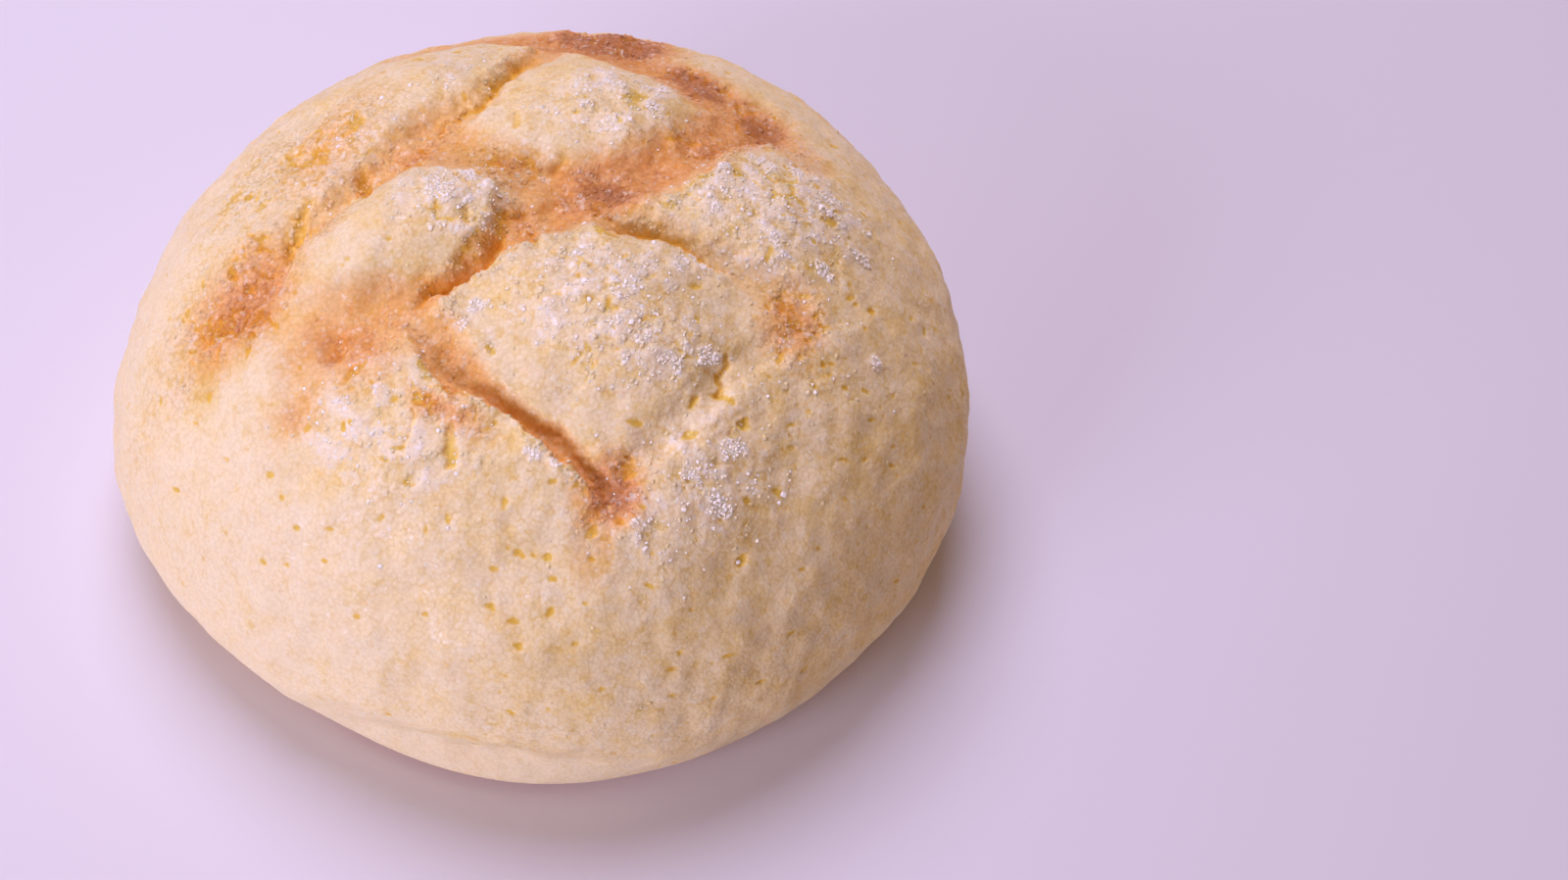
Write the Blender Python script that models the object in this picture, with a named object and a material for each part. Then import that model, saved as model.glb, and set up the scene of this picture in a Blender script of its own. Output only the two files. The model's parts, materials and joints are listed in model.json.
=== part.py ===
"""A melon pan bun: one closed body, its biscuit crust scored into a lattice of puffed tiles.

Metres, +Z up. The bun rests on z = 0 with the middle of its width and depth at the origin, and its
front is towards -Y. The shell is laid out flat as a disc, whose middle is the crown and whose border
is the edge of the foot, then lifted onto the body, and the lattice is pressed into it along its normals.
"""

import math

import bmesh
import bpy
from mathutils import Vector

MM = 0.001

# Driving sizes of the smooth body
RADIUS = 55 * MM  # at the widest level
HEIGHT = 48.5 * MM
WIDEST_LEVEL = 12 * MM  # height of the widest level above the base
FOOT_RADIUS = 48 * MM  # the flat that the bun rests on
DOME_POWER = 2.25  # 2 is an ellipse, more is squarer
DOME_LEAN = Vector((1.6, 4.1, 0)) * MM  # the crown lies off the middle of the foot

# The outline is a little uneven: (waves in a turn, share of the radius, phase in degrees)
OUTLINE_WAVES = ((2, 0.005, 80), (3, 0.007, 230), (4, 0.006, 70), (5, 0.008, 335))

# The crust's edge has spread into a thin lip at the front, under a shallow fold
HEM_TURN = math.radians(273)
HEM_HALF_SPAN = math.radians(30)
HEM_LIP = 1.3 * MM  # how far the lip stands out
HEM_LIP_LEVEL = 2 * MM
HEM_LIP_THICK = 2.2 * MM
HEM_FOLD = 2.7 * MM  # how deep the fold runs in
HEM_FOLD_LEVEL = 8 * MM
HEM_FOLD_TALL = 5 * MM

# Grooves of the lattice in plan, in mm: (x, y, half width, depth) along each groove
GROOVES = {
    "left": (
        (-4, 44, 4, 0.8), (-9, 33, 4, 1.8), (-12, 24, 4, 2.2), (-15, 18, 4.5, 2.5), (-19, 11, 5, 2.5),
        (-24, 2, 5, 2.8), (-29, -6, 5.5, 2.6), (-34, -14, 6, 2.0), (-39, -19, 4, 0.5),
    ),
    "far": (
        (-28, 33, 4, 0.6), (-18, 39, 5, 1.5), (-5, 37, 6, 2.0), (6, 33, 6, 2.0), (13, 29, 6.5, 2.0),
        (21, 25, 7, 2.2), (28, 20, 5, 0.6),
    ),
    "second": (
        (-24, 3, 4, 1.6), (-18, 9, 4.5, 1.6), (-10, 6, 4, 1.5), (-4, 4, 4.5, 2.0), (3, 3, 6, 2.6),
        (8, -1, 5, 2.4), (14, -2, 4, 2.0), (21, -3, 3.5, 1.6), (29, -5, 4, 1.0), (32, -9, 3, 0.5),
    ),
    "middle": (
        (21, 25, 6, 2.0), (14, 14, 5.5, 2.3), (9, 9, 5.5, 2.5), (3, 3, 6, 2.6), (-3, -4, 4, 3.0),
        (-7, -8, 4, 3.6), (-10, -13, 4, 3.2), (-14, -16, 5, 2.6), (-20, -19, 6, 2.0), (-24, -24, 6, 1.5),
        (-26, -31, 4, 0.5),
    ),
    "third": (
        (-28, -19, 5, 1.0), (-20, -18, 5, 1.5), (-14, -17, 4.5, 2.8), (-10, -21, 4.5, 3.2),
        (-4, -25, 4.5, 3.4), (3, -29, 4.2, 3.2), (10, -31.5, 4, 2.6), (13, -35, 4.5, 1.6), (12, -40, 3.5, 0.5),
    ),
    "front right": (
        (30, -10, 3.5, 0.7), (24, -17, 3.5, 1.0), (21, -22, 3.5, 1.0), (18, -27, 3.5, 1.0), (14, -33, 3.5, 1.0),
    ),
}

# Puffed tiles between the grooves, in mm: (x, y, half length, half width, turn in degrees, rise)
TILES = {
    "central": (10, -15, 20, 13, -35, 1.6),
    "left middle": (-18, -6, 14, 8, 43, 2.0),
    "top": (0, 20, 15, 11, 25, 1.6),
    "upper left": (-22, 20, 16, 8, 57, 1.3),
    "right": (25, 8, 14, 13, 30, 1.3),
    "lower left": (-12, -32, 16, 8, -35, 0.9),
}

# How finely the shell is divided
DOME_SHARE = 0.82  # the part of the way from crown to foot that lies above the widest level
CROWN_SHARE = 0.36  # the part that is a square grid, rounded to a disc
CROWN_CELLS = 44
SIDE_RINGS = 16

CRUST_COLOUR = (0.83, 0.63, 0.34, 1.0)
CRUST_ROUGHNESS = 0.75


def hump(distance, reach):
    """1 in the middle, falling smoothly to 0 at the reach and staying there."""
    share = min(abs(distance) / reach, 1.0)
    return (1 - share * share) ** 2


def outline(turn):
    """The share of the nominal radius that the uneven outline has at this turn."""
    return 1 + sum(
        size * math.cos(waves * turn - math.radians(phase)) for waves, size, phase in OUTLINE_WAVES
    )


def hem_spread(turn, height):
    """How far the hem moves the side out, or in where negative: the lip, with the fold over it."""
    along = hump(turn % math.tau - HEM_TURN, HEM_HALF_SPAN)
    lip = HEM_LIP * math.exp(-(((height - HEM_LIP_LEVEL) / HEM_LIP_THICK) ** 2))
    fold = HEM_FOLD * math.exp(-(((height - HEM_FOLD_LEVEL) / HEM_FOLD_TALL) ** 2))
    return along * (lip - fold)


def body_point(share, turn):
    """The smooth body, from the crown at share 0, over the widest level, to the foot's edge at share 1."""
    if share < DOME_SHARE:
        angle = math.pi / 2 * (1 - share / DOME_SHARE)
        reach = RADIUS * math.cos(angle) ** (2 / DOME_POWER)
        rise = math.sin(angle) ** (2 / DOME_POWER)
        height = WIDEST_LEVEL + (HEIGHT - WIDEST_LEVEL) * rise
    else:
        angle = math.pi / 2 * (share - DOME_SHARE) / (1 - DOME_SHARE)
        reach = FOOT_RADIUS + (RADIUS - FOOT_RADIUS) * math.cos(angle)
        rise = 0.0
        height = WIDEST_LEVEL * (1 - math.sin(angle))
    reach = reach * outline(turn) + hem_spread(turn, height)
    return Vector((reach * math.cos(turn), reach * math.sin(turn), height)) + DOME_LEAN * rise


def groove_depth(x, y, path):
    """How deep this groove is at a place in plan, in mm."""
    deepest = 0.0
    for (ax, ay, awide, adeep), (bx, by, bwide, bdeep) in zip(path, path[1:]):
        run_x, run_y = bx - ax, by - ay
        along = ((x - ax) * run_x + (y - ay) * run_y) / (run_x * run_x + run_y * run_y)
        along = min(max(along, 0.0), 1.0)
        distance = math.hypot(x - ax - along * run_x, y - ay - along * run_y)
        depth = adeep + along * (bdeep - adeep)
        deepest = max(deepest, depth * hump(distance, awide + along * (bwide - awide)))
    return deepest


def tile_rise(x, y, tile):
    """How far this tile puffs out at a place in plan, in mm."""
    middle_x, middle_y, half_length, half_width, turn, rise = tile
    cosine, sine = math.cos(math.radians(turn)), math.sin(math.radians(turn))
    dx, dy = x - middle_x, y - middle_y
    along = (dx * cosine + dy * sine) / half_length
    across = (dy * cosine - dx * sine) / half_width
    return rise * hump(math.hypot(along, across), 1)


def relief(place):
    """The lattice's relief at a point of the dome, in metres along the normal."""
    x, y = place.x / MM, place.y / MM
    groove = max(groove_depth(x, y, path) for path in GROOVES.values())
    puff = max(tile_rise(x, y, tile) for tile in TILES.values())
    return (puff - groove) * MM


def flat_disc():
    """The shell laid flat: radius is the share of the way from the crown to the foot's edge."""
    shell = bmesh.new()
    bmesh.ops.create_grid(shell, x_segments=CROWN_CELLS, y_segments=CROWN_CELLS, size=1.0)
    for vertex in shell.verts:
        u, v = vertex.co.xy
        round_u = u * math.sqrt(1 - v * v / 2)
        round_v = v * math.sqrt(1 - u * u / 2)
        vertex.co = Vector((round_u, round_v, 0)) * CROWN_SHARE
    for ring in range(1, SIDE_RINGS + 1):
        share = CROWN_SHARE + (1 - CROWN_SHARE) * ring / SIDE_RINGS
        border = [edge for edge in shell.edges if edge.is_boundary]
        grown = bmesh.ops.extrude_edge_only(shell, edges=border)["geom"]
        for vertex in (item for item in grown if isinstance(item, bmesh.types.BMVert)):
            vertex.co = vertex.co.normalized() * share
    return shell


def lift(shell):
    """The flat shell raised onto the body, its foot closed, and the lattice pressed in."""
    for vertex in shell.verts:
        share = min(vertex.co.length, 1.0)
        turn = math.atan2(vertex.co.y, vertex.co.x)
        vertex.co = body_point(share, turn)
    foot = [edge for edge in shell.edges if edge.is_boundary]
    bmesh.ops.contextual_create(shell, geom=foot)
    bmesh.ops.recalc_face_normals(shell, faces=shell.faces[:])
    shell.normal_update()
    pressed = [(vertex, vertex.normal * relief(vertex.co)) for vertex in shell.verts]
    for vertex, move in pressed:
        if vertex.co.z > WIDEST_LEVEL:
            vertex.co += move


def centre(shell):
    """The middle of the width and depth moved to the origin."""
    xs = [vertex.co.x for vertex in shell.verts]
    ys = [vertex.co.y for vertex in shell.verts]
    middle = Vector((min(xs) + max(xs), min(ys) + max(ys), 0)) / 2
    bmesh.ops.translate(shell, verts=shell.verts[:], vec=-middle)


def crust_material():
    material = bpy.data.materials.new("crust")
    material.use_nodes = True
    shader = material.node_tree.nodes["Principled BSDF"]
    shader.inputs["Base Color"].default_value = CRUST_COLOUR
    shader.inputs["Roughness"].default_value = CRUST_ROUGHNESS
    shader.inputs["Metallic"].default_value = 0.0
    return material


def make_bun(collection):
    shell = flat_disc()
    lift(shell)
    centre(shell)
    mesh = bpy.data.meshes.new("bun")
    shell.to_mesh(mesh)
    shell.free()
    mesh.shade_smooth()
    mesh.materials.append(crust_material())
    collection.objects.link(bpy.data.objects.new("bun", mesh))


def main():
    for old in list(bpy.data.objects):
        bpy.data.objects.remove(old, do_unlink=True)
    collection = bpy.data.collections.new("melon_pan_bun")
    bpy.context.scene.collection.children.link(collection)
    make_bun(collection)


main()
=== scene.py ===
# %% [markdown]
# # A melon pan bun
#
# Melon pan is a soft round bun that is baked under a layer of biscuit dough. The dough is dipped in
# granulated sugar and scored with a lattice before it proves. In the oven the bread swells, the
# squares of the lattice puff up and drift apart, and the crumb between them browns first.
#
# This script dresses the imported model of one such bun. It makes the crust as one dense mesh, whose
# relief is worked out from a few grooves, tiles, cracks and pores, and then strews sugar on it.
# Everything is in metres, +Z up, and the front of the bun is towards -Y.

import itertools
import json
import math

import bpy
import numpy as np
from mathutils import Matrix, Vector, kdtree

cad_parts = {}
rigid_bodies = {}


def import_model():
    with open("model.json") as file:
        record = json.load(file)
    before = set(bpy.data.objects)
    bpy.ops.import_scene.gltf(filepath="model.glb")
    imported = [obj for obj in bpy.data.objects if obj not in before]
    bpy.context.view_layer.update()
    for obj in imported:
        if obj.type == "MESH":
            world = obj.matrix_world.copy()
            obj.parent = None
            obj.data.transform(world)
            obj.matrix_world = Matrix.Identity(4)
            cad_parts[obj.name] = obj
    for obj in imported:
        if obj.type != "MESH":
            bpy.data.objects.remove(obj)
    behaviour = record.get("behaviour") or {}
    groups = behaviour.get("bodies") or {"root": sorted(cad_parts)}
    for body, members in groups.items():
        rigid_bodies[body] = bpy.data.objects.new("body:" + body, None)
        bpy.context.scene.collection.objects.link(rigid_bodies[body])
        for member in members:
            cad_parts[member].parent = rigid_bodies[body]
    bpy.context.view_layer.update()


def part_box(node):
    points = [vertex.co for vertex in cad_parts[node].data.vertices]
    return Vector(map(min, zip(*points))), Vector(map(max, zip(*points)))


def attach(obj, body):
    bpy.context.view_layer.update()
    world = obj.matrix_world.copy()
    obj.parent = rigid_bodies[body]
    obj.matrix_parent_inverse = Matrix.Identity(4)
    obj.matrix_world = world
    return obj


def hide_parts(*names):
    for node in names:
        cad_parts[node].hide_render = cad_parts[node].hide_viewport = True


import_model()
bun_low, bun_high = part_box("bun")
MM = 0.001
print("the bun's box in mm:", [round(side / MM, 1) for side in bun_high - bun_low])

# %% [markdown]
# ## Camera and light
#
# The camera looks down at the bun from the front, as someone does who stands at the table, and it is
# tilted a little sideways. Its three axes are worked out from those two angles. Colours are shown as
# they are, with the Standard view, because the default view greys a pale yellow.

# %% Camera
CAMERA_PLACE = Vector((31.4, -187.4, 234.8)) * MM
CAMERA_PITCH = math.radians(50)
CAMERA_ROLL = math.radians(10)
LENS = 50  # mm, on a sensor 36 mm wide


def make_camera():
    forward = Vector((0, math.cos(CAMERA_PITCH), -math.sin(CAMERA_PITCH)))
    level_up = Vector((0, math.sin(CAMERA_PITCH), math.cos(CAMERA_PITCH)))
    level_right = Vector((1, 0, 0))
    right = math.cos(CAMERA_ROLL) * level_right + math.sin(CAMERA_ROLL) * level_up
    up = math.cos(CAMERA_ROLL) * level_up - math.sin(CAMERA_ROLL) * level_right
    camera = bpy.data.objects.new("camera", bpy.data.cameras.new("camera"))
    camera.data.lens = LENS
    camera.data.clip_start = 10 * MM
    turned = Matrix((right, up, -forward)).transposed().to_4x4()
    camera.matrix_world = Matrix.Translation(CAMERA_PLACE) @ turned
    bpy.context.scene.collection.objects.link(camera)
    bpy.context.scene.camera = camera
    bpy.context.scene.view_settings.view_transform = "Standard"
    return camera


camera = make_camera()
print("camera distance in mm:", round(camera.location.length / MM))

# %% [markdown]
# The light is daylight on an overcast day. Most of it comes from a skylight, above and behind on the
# left, and a low window in front on the left lights the bun's near side. Both are slightly blue, and
# the room's own light is dim and warm, which keeps the shadows in the crust golden. An area light's
# softness comes from its size beside its distance: these are several times as wide as the bun, so the
# shadows have broad soft edges.

# %% Lights and floor
SKYLIGHT = {"place": (-0.16, 0.30, 0.66), "size": 0.5, "power": 4.9, "colour": (0.74, 0.68, 1.0)}
WINDOW = {"place": (-0.40, -0.60, 0.22), "size": 0.4, "power": 4.4, "colour": (0.72, 0.67, 1.0)}
ROOM_COLOUR = (1.0, 0.62, 0.45)
ROOM_STRENGTH = 0.24
FLOOR_SIZE = 6.0
FLOOR_COLOUR = (0.76, 0.74, 0.76, 1)
FLOOR_ROUGHNESS = 0.6


def make_light(name, place, size, power, colour):
    light = bpy.data.lights.new(name, "AREA")
    light.shape = "DISK"
    light.size = size
    light.energy = power
    light.color = colour
    lamp = bpy.data.objects.new(name, light)
    lamp.location = place
    lamp.rotation_euler = (-Vector(place)).to_track_quat("-Z", "Y").to_euler()
    bpy.context.scene.collection.objects.link(lamp)


def make_room():
    world = bpy.data.worlds.new("room")
    bpy.context.scene.world = world
    world.use_nodes = True
    air = world.node_tree.nodes["Background"]
    air.inputs["Color"].default_value = (*ROOM_COLOUR, 1)
    air.inputs["Strength"].default_value = ROOM_STRENGTH


def make_floor():
    bpy.ops.mesh.primitive_plane_add(size=FLOOR_SIZE, location=(0, 0, bun_low.z))
    floor = bpy.context.object
    floor.name = "floor"
    paint = bpy.data.materials.new("floor_paint")
    paint.use_nodes = True
    shader = paint.node_tree.nodes["Principled BSDF"]
    shader.inputs["Base Color"].default_value = FLOOR_COLOUR
    shader.inputs["Roughness"].default_value = FLOOR_ROUGHNESS
    floor.data.materials.append(paint)


make_light("skylight", **SKYLIGHT)
make_light("window", **WINDOW)
make_room()
make_floor()

# %% [markdown]
# ## The bun's smooth body
#
# The solid in the frame is made from a flat disc that is lifted onto a dome, and the crust starts on
# the same body with the same sizes, because it has to stand for that solid. The net of points is a
# cube that is subdivided evenly: its top face becomes the crown, its four sides the flanks and its
# bottom the foot. That gives cells of nearly one size, where a sphere of rings and spokes would crowd
# its points at the poles.

# %% The body's sizes
RADIUS = 55 * MM
HEIGHT = 48.5 * MM
WIDEST_LEVEL = 12 * MM
FOOT_RADIUS = 48 * MM
DOME_POWER = 2.25
DOME_LEAN = np.array((1.6, 4.1, 0)) * MM
OUTLINE_WAVES = ((2, 0.005, 80), (3, 0.007, 230), (4, 0.006, 70), (5, 0.008, 335))
DOME_SHARE = 0.82
CROWN_SHARE = 0.36

HEM_TURN = math.radians(273)
HEM_HALF_SPAN = math.radians(30)
HEM_LIP = 1.3 * MM
HEM_LIP_LEVEL = 2 * MM
HEM_LIP_THICK = 2.2 * MM
HEM_FOLD = 2.7 * MM
HEM_FOLD_LEVEL = 8 * MM
HEM_FOLD_TALL = 5 * MM

CUBE_LEVELS = 8
print("cells on each side of the cube:", 2**CUBE_LEVELS)


# %% The body's form
def hump(distance, reach):
    """1 in the middle, falling smoothly to 0 at the reach and staying there."""
    share = np.minimum(np.abs(distance) / reach, 1.0)
    return (1 - share * share) ** 2


def outline(turn):
    waves = (size * np.cos(count * turn - math.radians(phase)) for count, size, phase in OUTLINE_WAVES)
    return 1 + sum(waves)


def hem_spread(turn, height):
    """How far the front hem moves the side out, or in where negative."""
    along = hump(turn % math.tau - HEM_TURN, HEM_HALF_SPAN)
    lip = HEM_LIP * np.exp(-(((height - HEM_LIP_LEVEL) / HEM_LIP_THICK) ** 2))
    fold = HEM_FOLD * np.exp(-(((height - HEM_FOLD_LEVEL) / HEM_FOLD_TALL) ** 2))
    return along * (lip - fold)


def body_places(share, turn):
    """The smooth body: share runs from 0 at the crown over the widest level to 1 at the foot's edge."""
    above = np.clip(math.pi / 2 * (1 - share / DOME_SHARE), 0, None)
    below = np.clip(math.pi / 2 * (share - DOME_SHARE) / (1 - DOME_SHARE), 0, math.pi / 2)
    rise = np.sin(above) ** (2 / DOME_POWER)
    dome = RADIUS * np.clip(np.cos(above), 0, 1) ** (2 / DOME_POWER)
    tuck = (RADIUS - FOOT_RADIUS) * (1 - np.cos(below))
    height = WIDEST_LEVEL * (1 - np.sin(below)) + (HEIGHT - WIDEST_LEVEL) * rise
    reach = (dome - tuck) * outline(turn) + hem_spread(turn, height)
    places = np.stack([reach * np.cos(turn), reach * np.sin(turn), height], 1)
    return places + np.outer(rise, DOME_LEAN)


crown = body_places(np.zeros(1), np.zeros(1))[0]
print("the crown in mm:", [round(float(place / MM), 1) for place in crown])


# %% An even net of points
def cube_net():
    """A cube of 2 on a side, evenly divided, as a mesh object."""
    bpy.ops.mesh.primitive_cube_add(size=2)
    cube = bpy.context.object
    split = cube.modifiers.new("split", "SUBSURF")
    split.subdivision_type = "SIMPLE"
    split.levels = split.render_levels = CUBE_LEVELS
    net = bpy.data.meshes.new_from_object(cube.evaluated_get(bpy.context.evaluated_depsgraph_get()))
    bpy.data.objects.remove(cube, do_unlink=True)
    return net


def places_of(mesh):
    flat = np.empty(len(mesh.vertices) * 3, np.float32)
    mesh.vertices.foreach_get("co", flat)
    return flat.reshape(-1, 3).astype(float)


def normals_of(mesh):
    flat = np.empty(len(mesh.vertices) * 3, np.float32)
    mesh.vertex_normals.foreach_get("vector", flat)
    return flat.reshape(-1, 3).astype(float)


net = cube_net()
print("points in the net:", len(net.vertices))

# %% Lift the net onto the body
NEARLY_1 = 0.999999
corner = places_of(net)
round_x = corner[:, 0] * np.sqrt(1 - corner[:, 1] ** 2 / 2)
round_y = corner[:, 1] * np.sqrt(1 - corner[:, 0] ** 2 / 2)
disc = np.hypot(round_x, round_y)
turn = np.arctan2(round_y, round_x)
on_top = corner[:, 2] > NEARLY_1
on_foot = corner[:, 2] < -NEARLY_1
down_side = (1 - corner[:, 2]) / 2
share = np.where(on_top, disc * CROWN_SHARE, CROWN_SHARE + (1 - CROWN_SHARE) * down_side)
body = body_places(np.where(on_foot, 1, share), turn)
body[:, :2] *= np.where(on_foot, disc, 1)[:, None]
net.vertices.foreach_set("co", body.astype(np.float32).ravel())
net.update()
normal = normals_of(net)
print("points on the body:", len(body))

# %% [markdown]
# ## Noise and other small tools
#
# Nothing on a loaf is straight, so nearly everything below is nudged by noise. Blender has noise
# textures for materials, but relief that is real mesh is worked out here with arrays: each corner of
# a lattice in space holds a random slope, and a place reads a smooth mix of the eight around it.

# %% Smooth noise in space
NOISE_TABLE = 4096
SCRAMBLE = (73856093, 19349663, 83492791)  # large primes, which mix a lattice corner's three numbers
NOISE_GAIN = 1.7
LAYERS_GAIN = 1.3


def clouds(places, size, seed):
    """Smooth noise from about -1 to 1 with lumps `size` across."""
    slopes = np.random.default_rng(seed).normal(size=(NOISE_TABLE, 3))
    slopes /= np.linalg.norm(slopes, axis=1)[:, None]
    cell = places / size
    corner = np.floor(cell).astype(np.int64)
    inside = cell - corner
    fade = inside**3 * (inside * (inside * 6 - 15) + 10)
    total = np.zeros(len(places))
    for step in itertools.product((0, 1), repeat=3):
        x, y, z = (corner + step).T
        slope = slopes[(x * SCRAMBLE[0] ^ y * SCRAMBLE[1] ^ z * SCRAMBLE[2]) % NOISE_TABLE]
        weight = np.prod(np.where(step, fade, 1 - fade), axis=1)
        total += weight * np.sum(slope * (inside - step), axis=1)
    return total * NOISE_GAIN


def rough_clouds(places, size, seed, layers=3):
    """Noise with ever finer and weaker layers, from about -1 to 1."""
    parts = [clouds(places, size / 2**n, seed + n) / 2**n for n in range(layers)]
    return sum(parts) / sum(1 / 2**n for n in range(layers)) * LAYERS_GAIN


def ramp(value, low, high):
    """0 below low, 1 above high, and smooth between."""
    share = np.clip((value - low) / (high - low), 0, 1)
    return share * share * (3 - 2 * share)


sample = clouds(body[:1000], 9 * MM, 1)
print("noise from", round(float(sample.min()), 2), "to", round(float(sample.max()), 2))

# %% [markdown]
# ## The lattice
#
# The grooves were one cross of scored lines, and the oven has bent and widened them, so each is a
# path of a few points in plan. At each point it has its own depth and browning, and a wall on each
# side with its own width, because one tile may slope gently into a groove and the next fall steeply.
# Places are nudged by noise before they are measured, so that the walls come out ragged.

# %% Where the grooves run
# (x, y, wall on the left, wall on the right, depth, browning) along each groove, in mm in plan
GROOVES = {
    "left": (
        (-4, 44, 3, 3, 0.6, 0.5),
        (-9, 33, 3, 2, 1.2, 0.5),
        (-12, 24, 3, 2, 1.6, 0.1),
        (-15, 18, 3, 2.5, 1.7, 0.2),
        (-19, 11, 5, 4, 1.7, 0.5),
        (-24.5, 2, 2.6, 4, 2.4, 0.3),
        (-29.5, -6, 2.6, 5, 2.2, 0.2),
        (-34, -14, 4, 5, 1.3, 0.2),
        (-38, -19, 4, 4, 0.3, 0.1),
    ),
    "far": (
        (-28, 33, 3, 3, 0.4, 0.3),
        (-18, 39, 4, 4, 1.0, 0.6),
        (-5, 37, 5, 5, 1.4, 0.85),
        (6, 33, 5, 5, 1.3, 0.7),
        (13, 29, 6, 5.5, 1.3, 0.65),
        (21, 25, 6, 5.5, 1.5, 0.7),
        (28, 20, 4, 4, 0.4, 0.3),
    ),
    "second": (
        (-24, 3, 4, 4, 1.4, 0.4),
        (-18, 9, 5, 5, 1.4, 0.5),
        (-10, 6, 4.5, 4.5, 1.3, 0.4),
        (-4, 4, 4.5, 5, 1.6, 0.5),
        (3, 3, 6, 5, 1.8, 0.85),
        (8, -1, 4, 3, 1.6, 0.3),
        (14, -2, 3.5, 2.2, 1.5, 0.1),
        (21, -3, 3, 2, 1.2, 0.1),
        (29, -5, 3, 3, 0.8, 0.2),
        (32, -9, 3, 3, 0.3, 0.2),
    ),
    "middle": (
        (21, 25, 5.5, 5.5, 1.5, 0.75),
        (14, 14, 5, 5.5, 1.6, 0.65),
        (9, 9, 5, 5.5, 1.8, 0.75),
        (3, 3, 6, 6, 1.8, 0.85),
        (-3, -4, 3, 4, 1.7, 0.5),
        (-7, -8, 2, 2.6, 1.8, 0.5),
        (-10, -13, 2, 2.4, 1.8, 0.5),
        (-14, -16, 4, 3, 1.6, 0.5),
        (-20, -19, 6, 5, 1.3, 0.55),
        (-24, -24, 5, 5, 0.8, 0.4),
        (-26, -31, 4, 4, 0.3, 0.1),
    ),
    "third": (
        (-28, -19, 5, 5, 0.5, 0.3),
        (-20, -18, 4, 5, 0.8, 0.4),
        (-14, -17.5, 3, 3, 1.2, 0.4),
        (-11.5, -21.3, 5, 1.6, 1.5, 0.5),
        (-9, -25, 5.5, 1, 1.7, 0.55),
        (-5, -27.2, 3.8, 0.9, 1.9, 0.55),
        (0, -28.9, 2.5, 0.8, 2.0, 0.55),
        (5.7, -31.8, 2.1, 0.8, 1.9, 0.55),
        (11, -34.1, 2.1, 0.9, 1.6, 0.6),
        (13.5, -36, 3, 2.5, 0.8, 0.6),
        (12, -41, 3, 3, 0.2, 0.2),
    ),
    "front right": (
        (30, -10, 2.5, 2.5, 0.6, 0.1),
        (24, -17, 2.5, 2.5, 0.8, 0),
        (21, -22, 2.5, 2.5, 0.7, 0),
        (18, -27, 2.5, 2.5, 0.8, 0),
        (14, -33, 2.5, 2.5, 0.8, 0.3),
    ),
}
FLOOR_SHARE = 0.15  # of each wall's width, along the bottom of a groove
print("grooves:", list(GROOVES))

# %% Where the dents and tiles lie
# (x, y, half length, half width, turn in degrees, depth) of soft dents, in mm in plan
DENTS = (
    (-22, -23.6, 3.5, 2.2, -60, 1.4),
    (-38, -25, 10, 5, 115, 1.0),
    (-33, 1, 9, 4, 100, 0.5),
    (-35, -15, 9, 6, 60, 0.8),
    (3, -45, 12, 5, 10, 0.4),
    (30, -37, 9, 4, 45, 0.5),
)
# (x, y, half length, half width, turn in degrees, rise), in mm in plan
TILES = {
    "central": (8.5, -14.5, 19, 13.5, -35, 1.8),
    "left middle": (-18, -6, 16, 8.2, 43, 3.3),
    "top": (0, 20, 15, 11, 25, 2.0),
    "upper left": (-25, 20, 17, 8, 60, 1.8),
    "right": (26, 8, 15, 14, 30, 1.7),
    "lower left": (-12, -33, 17, 8, -35, 0.9),
    "front": (20, -34, 14, 8, 40, 0.6),
}
print("tiles:", list(TILES))


# %% Distances from paths and ovals
def along(path, places):
    """For each stretch of a path: each place's distance to it, its side, and the path's values there."""
    stops = np.array(path, float)
    for start, end in zip(stops, stops[1:]):
        run = end[:2] - start[:2]
        off = places - start[:2]
        share = np.clip(off @ run / (run @ run), 0, 1)
        distance = np.linalg.norm(off - share[:, None] * run, axis=1)
        left_of_it = np.sign(run[0] * off[:, 1] - run[1] * off[:, 0])
        yield distance, left_of_it, start[2:] + share[:, None] * (end - start)[2:]


def oval_reach(places, x, y, half_length, half_width, turn):
    """0 in the middle of a turned oval and 1 on its edge."""
    lie = math.radians(turn)
    off = places - (x, y)
    lengthways = off @ (math.cos(lie), math.sin(lie)) / half_length
    sideways = off @ (-math.sin(lie), math.cos(lie)) / half_width
    return np.hypot(lengthways, sideways)


def patch(places, *oval):
    """1 in the middle of a turned oval, falling softly to 0 at its edge."""
    return hump(oval_reach(places, *oval), 1)


def puffed(places, *oval):
    """Like a patch, but full, as a risen loaf is."""
    return np.clip(1 - oval_reach(places, *oval) ** 2, 0, None) ** 1.3


halfway = np.array([[1.0, 0.0]])
for form in (patch, puffed):
    print("half way out,", form.__name__, "is", form(halfway, 0, 0, 2, 2, 0).round(2))

# %% The lattice's relief
WALL_TOP = 1.15  # times a wall's width, where its relief ends
BROWNED_WALL = (0.45, 1.25)  # times a wall's width, between which its browning fades
wander = np.stack([clouds(body, 7 * MM, seed) for seed in (11, 12)], 1) * 0.8
ragged = np.stack([rough_clouds(body, 2.4 * MM, seed) for seed in (21, 31)], 1) * 0.9
torn = np.stack([rough_clouds(body, 1.3 * MM, seed, 2) for seed in (24, 34)], 1) * 0.4
plan = body[:, :2] / MM + wander
ragged_plan = plan + ragged
torn_plan = ragged_plan + torn
groove = np.zeros(len(plan))
browned = np.zeros(len(plan))
for path in GROOVES.values():
    for distance, left_of_it, values in along(path, ragged_plan):
        left_wall, right_wall, depth, browning = values.T
        up_the_wall = distance / np.where(left_of_it > 0, left_wall, right_wall)
        groove = np.maximum(groove, depth * (1 - ramp(up_the_wall, FLOOR_SHARE, WALL_TOP)))
        browned = np.maximum(browned, browning * (1 - ramp(up_the_wall, *BROWNED_WALL)))
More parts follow.
